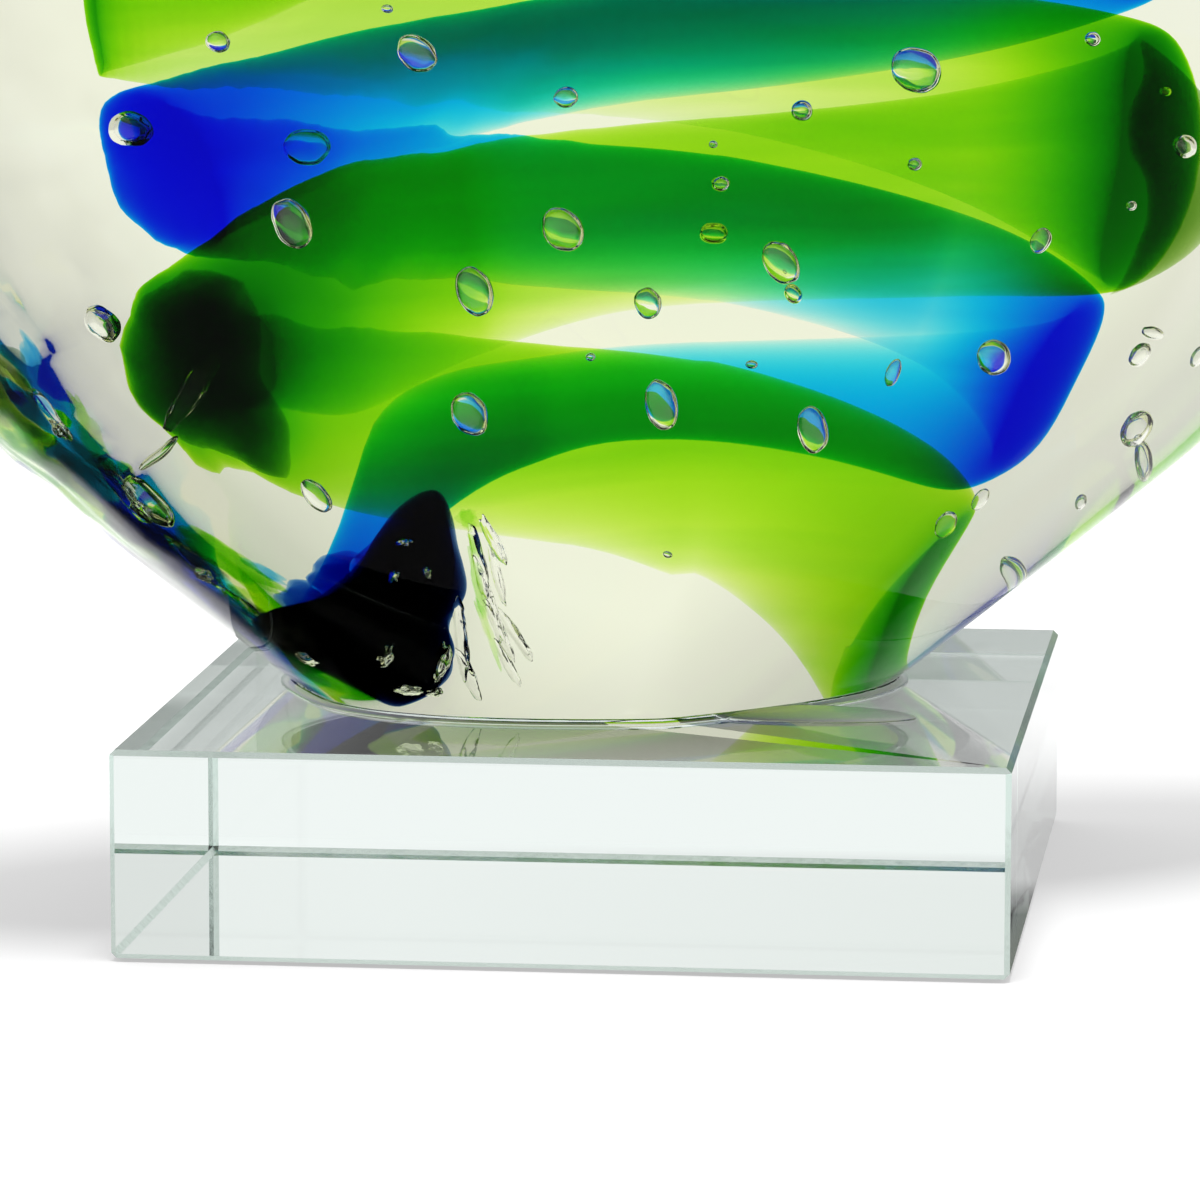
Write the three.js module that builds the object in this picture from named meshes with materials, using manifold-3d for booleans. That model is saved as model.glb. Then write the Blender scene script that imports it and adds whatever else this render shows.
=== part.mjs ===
// Clear glass heart with two wound colour ribbons inside, bonded to a square block of optical glass.
// Millimetres, +Z up. The origin is the centre of the block's underside, and the block's front faces -Y.

import * as THREE from 'three';
import { ParametricGeometry } from 'three/addons/geometries/ParametricGeometry.js';
import { mergeVertices } from 'three/addons/utils/BufferGeometryUtils.js';
import Module from 'manifold-3d';

const wasm = await Module();
wasm.setup();

// Base block
const blockWidth = 90;
const blockDepth = 90;
const blockHeight = 21.2;
const blockChamfer = 0.8;

// Heart: turned on the block so that its left end comes forward, and leaning a little to its right
const heartWidth = 190;
const heartHeight = 163;
const heartThickness = 74;
const heartTurn = 25;
const heartLean = 3;
const heartOffsetX = -4.1;
const heartOffsetY = 3.4;

// Heart outline: a tip that is ground off, a knee on the side, the widest place, the lobe and the cleft
const tipGroundOff = 20;
const tipPull = 6;
const sideSlope = 38.5;
const sideKneeX = 65;
const sideKneeZ = 24.8;
const kneePullDown = 10;
const kneePullUp = 22;
const widestHeight = 98;
const widestPullDown = 26;
const widestPullUp = 40;
const lobeHalfSpacing = 50;
const lobePullOut = 28;
const lobePullIn = 24;
const cleftDepth = 32;
const cleftPullOut = 6;
const cleftPullUp = 14;
const cleftToCentre = 43;

// Heart section: the power of its rounding, squarer near the seat than on the sides and lobes
const bottomFullness = 3.1;
const sideFullness = 2.3;
const fullnessSpread = 80;

// The column, its ribbons and their tail are drawn for a heart of this size, and grow with it
const acrossScale = heartWidth / 190;
const deepScale = heartThickness / 74;
const tallScale = heartHeight / 163;

// Clear column on which the ribbons are wound: half widths at a height above the seat.
// It bulges differently to the left and to the right, as blown glass does.
const columnLeft = [
  { height: 0, half: 24 },
  { height: 6, half: 28 },
  { height: 13, half: 31 },
  { height: 27, half: 32.5 },
  { height: 42, half: 36.6 },
  { height: 57, half: 43 },
  { height: 75, half: 47 },
  { height: 95, half: 43 },
  { height: 106, half: 35 },
  { height: 115, half: 20 },
  { height: 119, half: 4 },
];
const columnRight = [
  { height: 0, half: 17 },
  { height: 8, half: 22.5 },
  { height: 15, half: 26 },
  { height: 22, half: 31.2 },
  { height: 29, half: 38.2 },
  { height: 37, half: 42.6 },
  { height: 49, half: 48.8 },
  { height: 60, half: 51 },
  { height: 76, half: 48 },
  { height: 95, half: 39 },
  { height: 107, half: 30 },
  { height: 115, half: 17 },
  { height: 119, half: 4 },
];
const columnDepth = [
  { height: 0, half: 10 },
  { height: 18, half: 13.8 },
  { height: 34, half: 14.5 },
  { height: 80, half: 14.5 },
  { height: 100, half: 12.5 },
  { height: 112, half: 9 },
  { height: 119, half: 3 },
];
const columnSquareness = 2.3;

// Ribbon stations from the top down, one for each rim and each face that the band passes.
// turn counts half turns: 0 is the left rim, 0.5 the back, 1 the right rim, 1.5 the front.
const blueStations = [
  { turn: -2.6, height: 108, half: 4, thickness: 2 },
  { turn: -2, height: 96, half: 7.5, thickness: 7 },
  { turn: -1.5, height: 91, half: 6.5, thickness: 1.8 },
  { turn: -1, height: 83, half: 8, thickness: 8 },
  { turn: -0.5, height: 69, half: 6, thickness: 1.8 },
  { turn: 0, height: 54.8, half: 7.4, thickness: 9 },
  { turn: 0.5, height: 49.9, half: 7.3, thickness: 1.8 },
  { turn: 0.75, height: 44.6, half: 7.4, thickness: 3 },
  { turn: 1, height: 36.3, half: 8.8, thickness: 7 },
  { turn: 1.15, height: 33.5, half: 8.5, thickness: 7 },
  { turn: 1.5, height: 33.4, half: 4.6, thickness: 2 },
  { turn: 1.66, height: 29, half: 5.2, thickness: 2.6 },
  { turn: 1.78, height: 18.5, half: 6.8, thickness: 3 },
  { turn: 1.87, height: 8.5, half: 4, thickness: 3 },
  { turn: 1.97, height: 6, half: 3, thickness: 3 },
];
const greenStations = [
  { turn: -3.1, height: 106, half: 4, thickness: 3 },
  { turn: -2.5, height: 90, half: 7, thickness: 1.8 },
  { turn: -2, height: 74.3, half: 10.5, thickness: 8 },
  { turn: -1.5, height: 68.3, half: 8.2, thickness: 1.3 },
  { turn: -1, height: 59.4, half: 13.6, thickness: 8 },
  { turn: -0.5, height: 51.3, half: 9.4, thickness: 1.8 },
  { turn: -0.2, height: 42.3, half: 11.2, thickness: 7 },
  { turn: 0, height: 36.8, half: 7.7, thickness: 13 },
  { turn: 0.15, height: 32.8, half: 8.6, thickness: 8 },
  { turn: 0.5, height: 27.4, half: 9.5, thickness: 1.8 },
  { turn: 1, height: 13.6, half: 10.4, thickness: 5 },
  { turn: 1.18, height: 9.5, half: 7, thickness: 3 },
];
const ribbonRimSharpness = 8;
const ribbonEdgePower = 0.8;

// Gathered tail of the ribbons, at the lower front left: its axis, half width and half depth at a height
const tailStations = [
  { height: 25, x: -21.5, y: -11, wide: 2.4, deep: 2 },
  { height: 20, x: -22, y: -11, wide: 3.8, deep: 3.4 },
  { height: 16.5, x: -22, y: -11, wide: 4.8, deep: 4 },
  { height: 13, x: -25, y: -11, wide: 8.8, deep: 5 },
  { height: 10, x: -27, y: -11, wide: 10.8, deep: 5.5 },
  { height: 6.5, x: -25, y: -10.5, wide: 9.2, deep: 5 },
  { height: 3.5, x: -22, y: -10, wide: 5.6, deep: 3.6 },
  { height: 1.2, x: -21.5, y: -10, wide: 2.4, deep: 1.6 },
];

// Share of the tail's girth by which its three folds stand out
const tailFold = 0.08;

// Clear adhesive between the ground seat and the block. It stands out round the seat, and one tongue of it
// is squeezed out at the front right.
const adhesiveThickness = 0.6;
const adhesiveRim = 1;
const tongueLength = 26;
const tongueWidth = 10;
const tongueSink = 1.5;
const tongueBearing = -56;
const tongueTurn = -4;

// Clearance between fused pieces of glass
const gap = 0.3;

// Depth below the seat to which the column is drawn before the seat is ground
const footDepth = 3;

// Share of a half turn over which a ribbon's end rounds off
const ribbonEndTurn = 0.16;

// Facets
const heartFacets = 84;
const thicknessFacets = 18;
const columnFacets = 36;
const columnRings = 20;
const ribbonFacets = 12;
const ribbonStepsPerHalfTurn = 11;
const tailSteps = 14;
const tailFacets = 16;
const columnCurveSteps = 10;
const bandCurveSteps = 16;
const tailCurveSteps = 8;

const radians = THREE.MathUtils.degToRad;

function power(value, exponent) {
  return Math.sign(value) * Math.abs(value) ** exponent;
}

// A closed solid for joins and cuts, from a geometry whose seams and poles meet
function solidOf(geometry) {
  const bare = geometry.clone();
  bare.deleteAttribute('normal');
  bare.deleteAttribute('uv');
  const merged = mergeVertices(bare, 1e-4);
  const corners = merged.index.array;
  const kept = [];
  for (let i = 0; i < corners.length; i += 3) {
    const [a, b, c] = [corners[i], corners[i + 1], corners[i + 2]];
    if (a !== b && b !== c && c !== a) {
      kept.push(a, b, c);
    }
  }
  if (signedVolume(merged.attributes.position, kept) < 0) {
    kept.reverse();
  }
  const mesh = new wasm.Mesh({
    numProp: 3,
    vertProperties: new Float32Array(merged.attributes.position.array),
    triVerts: new Uint32Array(kept),
  });
  return new wasm.Manifold(mesh);
}

// Six times the volume inside a list of triangle corners, negative where the faces point in
function signedVolume(position, corners) {
  const [a, b, c] = [new THREE.Vector3(), new THREE.Vector3(), new THREE.Vector3()];
  let sum = 0;
  for (let i = 0; i < corners.length; i += 3) {
    a.fromBufferAttribute(position, corners[i]);
    b.fromBufferAttribute(position, corners[i + 1]);
    c.fromBufferAttribute(position, corners[i + 2]);
    sum += a.dot(b.cross(c));
  }
  return sum;
}

// The largest body of a solid, without the slivers that a cut can leave
function largestBody(solid) {
  const bodies = solid.decompose();
  bodies.sort((first, second) => second.volume() - first.volume());
  return bodies[0];
}

function geometryOf(solid) {
  const mesh = solid.getMesh();
  const geometry = new THREE.BufferGeometry();
  geometry.setAttribute('position', new THREE.BufferAttribute(new Float32Array(mesh.vertProperties), 3));
  geometry.setIndex(new THREE.BufferAttribute(new Uint32Array(mesh.triVerts), 1));
  geometry.computeVertexNormals();
  return geometry;
}

// Everything below the ground plane of the seat
function groundOff() {
  const side = 2 * heartWidth;
  const box = new THREE.BoxGeometry(side, side, side);
  return solidOf(box.translate(0, 0, -side / 2));
}

// A shape drawn upright, leaned as the heart leans
function leaned(solid) {
  return solid.rotate([0, heartLean, 0]);
}

// Right half of the heart's front outline, from the virtual tip up the side, over the lobe to the cleft
function heartHalfOutline() {
  const half = heartWidth / 2;
  const rise = new THREE.Vector2(Math.cos(radians(sideSlope)), Math.sin(radians(sideSlope)));
  const knee = new THREE.Vector2(sideKneeX, sideKneeZ);
  const below = knee.clone().addScaledVector(rise, -kneePullDown);
  const above = knee.clone().addScaledVector(rise, kneePullUp);
  const lobeOut = lobeHalfSpacing + lobePullOut;
  const lobeIn = lobeHalfSpacing - lobePullIn;
  const cleft = heartHeight - cleftDepth;
  const outline = new THREE.Path();
  outline.moveTo(0, -tipGroundOff);
  outline.bezierCurveTo(tipPull, -tipGroundOff, below.x, below.y, knee.x, knee.y);
  outline.bezierCurveTo(above.x, above.y, half, widestHeight - widestPullDown, half, widestHeight);
  const shoulder = widestHeight + widestPullUp;
  outline.bezierCurveTo(half, shoulder, lobeOut, heartHeight, lobeHalfSpacing, heartHeight);
  outline.bezierCurveTo(lobeIn, heartHeight, cleftPullOut, cleft + cleftPullUp, 0, cleft);
  return outline;
}

// Heart swollen from its outline about a centre point, fuller towards the seat, then ground flat there
function heartSolid() {
  const half = heartHalfOutline();
  const centreHeight = heartHeight - cleftDepth - cleftToCentre;
  const surface = (u, v, target) => {
    const mirrored = u > 0.5;
    const point = half.getPointAt(mirrored ? 2 - 2 * u : 2 * u);
    const x = mirrored ? -point.x : point.x;
    const z = point.y - centreHeight;
    const fromBottom = Math.min(1, Math.atan2(point.x, -z) / radians(fullnessSpread));
    const fullness = THREE.MathUtils.lerp(bottomFullness, sideFullness, fromBottom);
    const angle = Math.PI * (v - 0.5);
    const wide = Math.abs(Math.cos(angle));
    const deep = Math.sin(angle);
    const radius = (wide ** fullness + Math.abs(deep) ** fullness) ** (-1 / fullness);
    target.set(x * wide * radius, deep * radius * heartThickness / 2, centreHeight + z * wide * radius);
  };
  const blown = solidOf(new ParametricGeometry(surface, heartFacets, thicknessFacets));
  return leaned(blown).subtract(groundOff());
}

// Points close together on a smooth curve through stations that are turned into points by a rule
function smoothThrough(stations, toPoint, stepsEach) {
  const curve = new THREE.CatmullRomCurve3(stations.map(toPoint), false, 'centripetal');
  return curve.getPoints(stations.length * stepsEach);
}

// The point of a run of samples at which one of its coordinates reaches a value
function sampleAt(samples, axis, value) {
  const rises = samples[samples.length - 1][axis] > samples[0][axis];
  let i = 1;
  while (i < samples.length - 1 && (rises ? samples[i][axis] < value : samples[i][axis] > value)) {
    i += 1;
  }
  const share = (value - samples[i - 1][axis]) / (samples[i][axis] - samples[i - 1][axis]);
  return samples[i - 1].clone().lerp(samples[i], THREE.MathUtils.clamp(share, 0, 1));
}

function columnSide(stations, scale) {
  const toPoint = ({ height, half }) => new THREE.Vector3(half * scale, 0, height * tallScale);
  return smoothThrough(stations, toPoint, columnCurveSteps);
}

const leftSide = columnSide(columnLeft, acrossScale);
const rightSide = columnSide(columnRight, acrossScale);
const faceSide = columnSide(columnDepth, deepScale);
const columnTop = columnDepth[columnDepth.length - 1].height * tallScale;

// Point on the column's surface, grown outwards by an offset; half turns run as in the stations
function columnPoint(turn, height, offset, target) {
  const angle = turn * Math.PI;
  const squareness = 2 / columnSquareness;
  const across = -power(Math.cos(angle), squareness);
  const deep = power(Math.sin(angle), squareness);
  const halfWidth = sampleAt(across > 0 ? rightSide : leftSide, 'z', height).x;
  const halfThickness = sampleAt(faceSide, 'z', height).x;
  const outX = across / halfWidth;
  const outY = deep / halfThickness;
  const length = Math.hypot(outX, outY);
  return target.set(
    halfWidth * across + offset * outX / length,
    halfThickness * deep + offset * outY / length,
    height,
  );
}

// A surface moved outwards along its own normal. It runs round in v, and its u ends close in points.
function grown(surface, amount) {
  const step = 1e-4;
  const [here, alongU, alongV] = [new THREE.Vector3(), new THREE.Vector3(), new THREE.Vector3()];
  return (u, v, target) => {
    if (u === 0 || u === 1) {
      surface(u, 0, target);
      surface(u, 0.5, here);
      target.lerp(here, 0.5);
      surface(Math.abs(u - 0.01), 0, alongU);
      surface(Math.abs(u - 0.01), 0.5, here);
      target.sub(alongU.lerp(here, 0.5).sub(target).setLength(amount));
      return;
    }
    surface(Math.min(1, u + step), v, alongU);
    surface(Math.max(0, u - step), v, here);
    alongU.sub(here);
    surface(u, v + step, alongV);
    surface(u, v - step, here);
    alongV.sub(here);
    const normal = alongU.cross(alongV).normalize();
    surface(u, v, target);
    target.addScaledVector(normal, amount);
  };
}

// A closed solid from a surface that runs round in v and closes in a point at each end of u
function surfaceSolid(surface, growth, steps, facets) {
  const grownSurface = growth > 0 ? grown(surface, growth) : surface;
  const closed = (u, v, target) => grownSurface(u, u === 0 || u === 1 || v === 1 ? 0 : v, target);
  return solidOf(new ParametricGeometry(closed, steps, facets));
}

// The clear column: a flat foot below the seat, then the wall up to the top of the dome
function columnSolid(growth) {
  const footShare = 0.1;
  const surface = (u, v, target) => {
    const foot = Math.min(1, u / footShare);
    const climb = Math.max(0, (u - footShare) / (1 - footShare));
    const height = THREE.MathUtils.lerp(-footDepth, columnTop, Math.sin(climb * Math.PI / 2));
    columnPoint(2 * v, height, 0, target);
    target.x *= foot;
    target.y *= foot;
  };
  return surfaceSolid(surface, growth, columnRings, columnFacets);
}

// Thickness of a band at a turn: it swells from the column's faces towards its rims
function thicknessAt(stations, turn) {
  const rim = (place) => Math.abs(Math.cos(place * Math.PI)) ** ribbonRimSharpness;
  let i = 1;
  while (i < stations.length - 1 && stations[i].turn < turn) {
    i += 1;
  }
  const [before, after] = [stations[i - 1], stations[i]];
  const share = (rim(turn) - rim(before.turn)) / (rim(after.turn) - rim(before.turn));
  const within = THREE.MathUtils.clamp(share, 0, 1);
  return THREE.MathUtils.lerp(before.thickness, after.thickness, within) * deepScale;
}

// A ribbon wound on the column: its inner side sinks a little into the column and is cut back to the gap
function ribbonSolid(stations, growth) {
  const turnScale = 20;
  const toPoint = ({ turn, height, half }) => new THREE.Vector3(turn * turnScale, height, half);
  const band = smoothThrough(stations, toPoint, bandCurveSteps);
  const start = stations[0].turn;
  const end = stations[stations.length - 1].turn;
  const steps = Math.round((end - start) * ribbonStepsPerHalfTurn);
  const inner = -2 * gap;
  const surface = (u, v, target) => {
    const turn = THREE.MathUtils.lerp(start, end, u);
    const fromEnd = Math.min(turn - start, end - turn) / ribbonEndTurn;
    const fade = fromEnd >= 1 ? 1 : Math.sqrt(Math.max(0, 1 - (1 - fromEnd) ** 2));
    const station = sampleAt(band, 'x', turn * turnScale);
    const outer = gap + thicknessAt(stations, turn);
    const round = 2 * Math.PI * v;
    const along = power(Math.cos(round), ribbonEdgePower) * station.z * fade;
    const out = (outer + inner) / 2 + power(Math.sin(round), ribbonEdgePower) * fade * (outer - inner) / 2;
    columnPoint(turn, (station.y + along) * tallScale, out, target);
  };
  return surfaceSolid(surface, growth, steps, ribbonFacets);
}

// The gathered tail: a folded drop that runs down the front left from the blue ribbon's end
function tailSolid(growth) {
  const toAxis = ({ height, x, y }) => new THREE.Vector3(x, y, height);
  const toGirth = ({ height, wide, deep }) => new THREE.Vector3(wide, deep, height);
  const axis = smoothThrough(tailStations, toAxis, tailCurveSteps);
  const girth = smoothThrough(tailStations, toGirth, tailCurveSteps);
  const top = tailStations[0].height;
  const foot = tailStations[tailStations.length - 1].height;
  const surface = (u, v, target) => {
    const height = THREE.MathUtils.lerp(top, foot, u);
    const centre = sampleAt(axis, 'z', height);
    const swell = Math.sqrt(Math.max(0, 1 - (2 * u - 1) ** 6));
    const half = sampleAt(girth, 'z', height).multiplyScalar(swell);
    const round = 2 * Math.PI * v;
    const fold = 1 + tailFold * Math.sin(3 * round + 5 * u);
    target.set(
      (centre.x + Math.cos(round) * half.x * fold) * acrossScale,
      (centre.y + Math.sin(round) * half.y * fold) * deepScale,
      height * tallScale,
    );
  };
  return surfaceSolid(surface, growth, tailSteps, tailFacets);
}

function blockGeometry() {
  const x = blockWidth / 2 - blockChamfer;
  const y = blockDepth / 2 - blockChamfer;
  const cut = blockChamfer;
  const outline = new THREE.Shape();
  outline.moveTo(x - cut, -y);
  outline.lineTo(x, -y + cut);
  outline.lineTo(x, y - cut);
  outline.lineTo(x - cut, y);
  outline.lineTo(-x + cut, y);
  outline.lineTo(-x, y - cut);
  outline.lineTo(-x, -y + cut);
  outline.lineTo(-x + cut, -y);
  outline.closePath();
  const geometry = new THREE.ExtrudeGeometry(outline, {
    depth: blockHeight - 2 * blockChamfer,
    bevelThickness: blockChamfer,
    bevelSize: blockChamfer,
    bevelSegments: 1,
  });
  geometry.translate(0, 0, blockChamfer);
  return geometry;
}

// Seat outline: the plan corners where the ground plane cuts the heart, and their middle
function seatOutline(heart) {
  const corners = heart.slice(0).toPolygons()[0].map(([x, y]) => new THREE.Vector2(x, y));
  const bounds = new THREE.Box2().setFromPoints(corners);
  return { corners, middle: bounds.getCenter(new THREE.Vector2()) };
}

// A point on the way from the seat's middle through a point, some way beyond it
function outwards(seat, point, distance) {
  const away = point.clone().sub(seat.middle);
  return point.clone().addScaledVector(away.normalize(), distance);
}

// The seat's corner that lies nearest to a bearing from its middle, measured in the block's frame
function cornerTowards(seat, bearing) {
  const wanted = new THREE.Vector2(1, 0).rotateAround(new THREE.Vector2(), radians(bearing - heartTurn));
  const towards = (corner) => corner.clone().sub(seat.middle).normalize().dot(wanted);
  return seat.corners.reduce((best, corner) => (towards(corner) > towards(best) ? corner : best));
}

function adhesiveSolid(seat) {
  const options = { depth: adhesiveThickness, bevelEnabled: false };
  const layer = new THREE.Shape(seat.corners.map((corner) => outwards(seat, corner, adhesiveRim)));
  const beyond = tongueWidth / 2 - tongueSink - adhesiveRim;
  const root = outwards(seat, cornerTowards(seat, tongueBearing), beyond);
  const tongue = new THREE.Shape();
  tongue.absellipse(0, 0, tongueLength / 2, tongueWidth / 2, 0, 2 * Math.PI);
  const tongueGeometry = new THREE.ExtrudeGeometry(tongue, options);
  tongueGeometry.rotateZ(radians(tongueTurn - heartTurn));
  tongueGeometry.translate(root.x, root.y, 0);
  return solidOf(new THREE.ExtrudeGeometry(layer, options)).add(solidOf(tongueGeometry));
}

function glass(color, roughness, opacity) {
  const transparent = opacity < 1;
  return new THREE.MeshStandardMaterial({ color, roughness, metalness: 0, transparent, opacity });
}

const clearGlass = glass(0xe6ebe4, 0.02, 0.3);
const blockGlass = glass(0xd6e6e0, 0.02, 0.4);
const adhesiveClear = glass(0xf2f5f0, 0.1, 0.5);
const blueGlass = glass(0x0064e0, 0.05, 1);
const greenGlass = glass(0x7fc410, 0.05, 1);
const darkGlass = glass(0x0c1c10, 0.1, 1);

function addPiece(parent, name, geometry, material) {
  const piece = new THREE.Mesh(geometry, material);
  piece.name = name;
  parent.add(piece);
}

const sculpture = new THREE.Group();
addPiece(sculpture, 'base_block', blockGeometry(), blockGlass);

const heart = heartSolid();
const body = new THREE.Group();
body.position.set(heartOffsetX, heartOffsetY, blockHeight);
body.rotation.z = radians(heartTurn);
sculpture.add(body);
addPiece(body, 'adhesive_layer', geometryOf(adhesiveSolid(seatOutline(heart))), adhesiveClear);

const glassBody = new THREE.Group();
glassBody.position.z = adhesiveThickness;
body.add(glassBody);

const grownColumn = leaned(columnSolid(gap));
const grownBlue = leaned(ribbonSolid(blueStations, gap));
const grownGreen = leaned(ribbonSolid(greenStations, gap));
const grownTail = leaned(tailSolid(gap));
const column = leaned(columnSolid(0)).subtract(groundOff());
const blueRibbon = leaned(ribbonSolid(blueStations, 0)).subtract(grownColumn);
const greenRibbon = leaned(ribbonSolid(greenStations, 0)).subtract(grownColumn).subtract(grownBlue);
const tail = leaned(tailSolid(0)).subtract(grownColumn).subtract(grownBlue).subtract(grownGreen);
const casing = heart.subtract(grownColumn).subtract(grownBlue).subtract(grownGreen).subtract(grownTail);

addPiece(glassBody, 'clear_casing', geometryOf(largestBody(casing)), clearGlass);
addPiece(glassBody, 'clear_column', geometryOf(column), clearGlass);
addPiece(glassBody, 'blue_ribbon', geometryOf(largestBody(blueRibbon)), blueGlass);
addPiece(glassBody, 'green_ribbon', geometryOf(largestBody(greenRibbon)), greenGlass);
addPiece(glassBody, 'ribbon_tail', geometryOf(largestBody(tail)), darkGlass);

export default sculpture;
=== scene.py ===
"""Clear glass heart with two wound colour ribbons inside, bonded to a block of optical glass.

Lengths are in millimetres and become metres when a piece is finished. The shared frame has its origin at
the centre of the block's underside, with the block's front facing -Y. The heart's frame has its origin in
the middle of the ground seat, with the heart's front facing -Y.
"""
import math
from bisect import bisect_right

import bmesh
import bpy
from mathutils import Matrix, Vector, noise
from mathutils.geometry import interpolate_bezier


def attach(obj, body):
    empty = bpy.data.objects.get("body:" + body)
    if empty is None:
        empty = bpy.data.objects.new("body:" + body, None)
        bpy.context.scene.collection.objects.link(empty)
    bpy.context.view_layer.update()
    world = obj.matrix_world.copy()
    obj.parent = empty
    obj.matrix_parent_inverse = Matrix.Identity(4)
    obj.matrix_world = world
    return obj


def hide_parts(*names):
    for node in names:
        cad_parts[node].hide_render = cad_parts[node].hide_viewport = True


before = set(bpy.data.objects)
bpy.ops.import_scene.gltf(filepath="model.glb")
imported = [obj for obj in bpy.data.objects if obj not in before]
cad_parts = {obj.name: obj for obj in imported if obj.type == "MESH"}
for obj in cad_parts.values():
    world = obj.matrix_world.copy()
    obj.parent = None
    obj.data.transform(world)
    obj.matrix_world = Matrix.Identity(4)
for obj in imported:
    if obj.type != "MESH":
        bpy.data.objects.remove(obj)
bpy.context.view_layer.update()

MM = 0.001
WHITE = (1.0, 1.0, 1.0)

# Block
BLOCK_SIDE = 90.0
BLOCK_HEIGHT = 21.2
BLOCK_CHAMFER = 0.55

# Heart
HEART_WIDTH = 189.26
HEART_HEIGHT = 162.94
HEART_THICKNESS = 73.9
HEART_TURN = 25.0
HEART_LEAN = 3.0
HEART_OFFSET = (-4.1, 3.4)
TIP_GROUND_OFF = 20.0
CLEFT_DEPTH = 32.0
CLEFT_TO_CENTRE = 43.0
WIDEST_HEIGHT = 98.0
LOBE_HALF_SPACING = 50.0
SIDE_SLOPE = 38.5
SIDE_KNEE = (65.0, 24.8)
BOTTOM_FULLNESS = 3.1
SIDE_FULLNESS = 2.3
FULLNESS_SPREAD = 80.0
HEART_STEPS = (320, 150)

# How far the outline's curves keep their direction, before and after each place where two of them meet
TIP_ROUNDNESS = 6.0
KNEE_PULLS = (10.0, 22.0)
WIDEST_PULLS = (26.0, 40.0)
LOBE_PULLS = (28.0, 24.0)
CLEFT_PULL = (6.0, 14.0)
OUTLINE_STEPS = 120

# The crumpled lower left of the skin: from where and over what length it sets in, to the left and down,
# how far it sinks in, and its waves, each with a height, a grain per millimetre and a shift
CRUMPLE_LEFT = (38.0, 22.0)
CRUMPLE_BELOW = (85.0, 40.0)
CRUMPLE_SINK = 0.25
CRUMPLE_WAVES = ((0.55, 0.11, 3.0), (0.3, 0.3, 0.0))

# The eased groove of the cleft: its half width, the height it starts at and how often it is smoothed
GROOVE_HALF_WIDTH = 4.0
GROOVE_FROM = 95.0
GROOVE_PASSES = 10

# Column on which the ribbons are wound: half width to the left and right, and half thickness, at a height
COLUMN_LEFT = (
    (0, 24), (6, 28), (13, 31), (27, 32.5), (42, 36.6), (57, 43), (75, 47), (95, 43), (106, 35),
    (115, 20), (119, 4),
)
COLUMN_RIGHT = (
    (0, 17), (8, 22.5), (15, 26), (22, 31.2), (29, 38.2), (37, 42.6), (49, 48.8), (60, 51), (76, 48),
    (95, 39), (107, 30), (115, 17), (119, 4),
)
COLUMN_DEPTH = (
    (0, 10), (8, 12), (18, 13.8), (34, 14.5), (80, 14.5), (100, 12.5), (112, 9), (119, 3),
)
COLUMN_SQUARENESS = 2.3

# Ribbons: thin on the faces of the column, thick where they turn round its edges. Their outer side is
# counted from the gap that the solids keep, and their ends round off over a part of a half turn
GAP = 0.3
RIM_SHARPNESS = 8.0
RIBBON_END_TURN = 0.16
RIBBON_CORNER = 0.8
RIBBON_STEPS = (64, 40)
HALF_TURN_LENGTH = 20.0

# Ribbon stations: half turns round the column, height above the seat, half height of the band, and how
# far its outer and its inner side lie off the column
OUTER_SIDE, INNER_SIDE = 3, 4
BLUE_STATIONS = (
    (-2.6, 108, 4, 2, -0.3), (-2, 96, 7.5, 7, -0.3), (-1.5, 91, 6.5, 2.2, -0.3), (-1, 83, 8, 8, 1),
    (-0.5, 69, 6, 2.9, -0.3), (0, 54.8, 7.4, 9, 0), (0.3, 51.9, 7.3, 2.7, -0.3),
    (0.5, 49.9, 7.3, 1.4, -0.3), (0.75, 44.6, 7.4, 0.5, -0.3), (1, 36.2, 8.8, 5, -0.3),
    (1.15, 33, 8.5, 4.6, -0.3), (1.5, 33.4, 4.8, 1.5, -0.3), (1.6, 31.4, 5.3, 2.4, -0.3),
    (1.68, 28.6, 6.7, 2.8, -0.3), (1.78, 21, 9.3, 4.4, 0.6), (1.87, 9.5, 5, 6, -0.3),
    (1.97, 6, 3, 5, -0.3),
)
GREEN_STATIONS = (
    (-3.1, 106, 4, 3, -0.3), (-2.5, 90, 7, 3.4, -0.3), (-2, 74.3, 10.5, 8, 7.1),
    (-1.5, 68.3, 8.2, 0.25, -0.3), (-1, 58.7, 12.9, 8.4, 0), (-0.7, 54.4, 10.6, 0.8, -0.3),
    (-0.5, 51.3, 9.4, 1.2, -0.3), (-0.35, 47.3, 10.3, 3, -0.3), (-0.2, 42.6, 11.4, 7.5, -0.3),
    (0, 37.9, 6.7, 13, -0.3), (0.15, 33.4, 7.9, 6.5, -0.3), (0.5, 27.4, 9.5, 1.8, -0.3),
    (1, 12.6, 10.6, 5.4, 2.9), (1.18, 8.5, 7.4, 5.6, 2.9),
)
# How much thicker a band is at its upper edge than in its middle, and thinner at its lower edge, on the
# column's faces: at its upper turns and at its lowest one. Then where, and over how much, that changes
BLUE_TAPER = (0.85, -0.8)
GREEN_TAPER = (0.6, 0.5)
TAPER_CHANGE = (0.8, 0.4)

# Gathered tail: height above the seat, its axis, its half width and its half depth
TAIL_STATIONS = (
    (23.6, -20.6, -11, 2.2, 2), (19.4, -21.4, -11, 3.6, 3.4), (16.5, -21.6, -11, 4.6, 4),
    (13, -22.8, -11, 6.8, 5), (10, -26, -11, 9.8, 5.5), (6.5, -25.6, -10.5, 9.8, 5),
    (3.5, -22, -10, 5.6, 3.6), (1.2, -21.5, -10, 2.4, 1.6),
)
TAIL_BLUNTNESS = 6
TAIL_STEPS = (140, 120)
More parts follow.
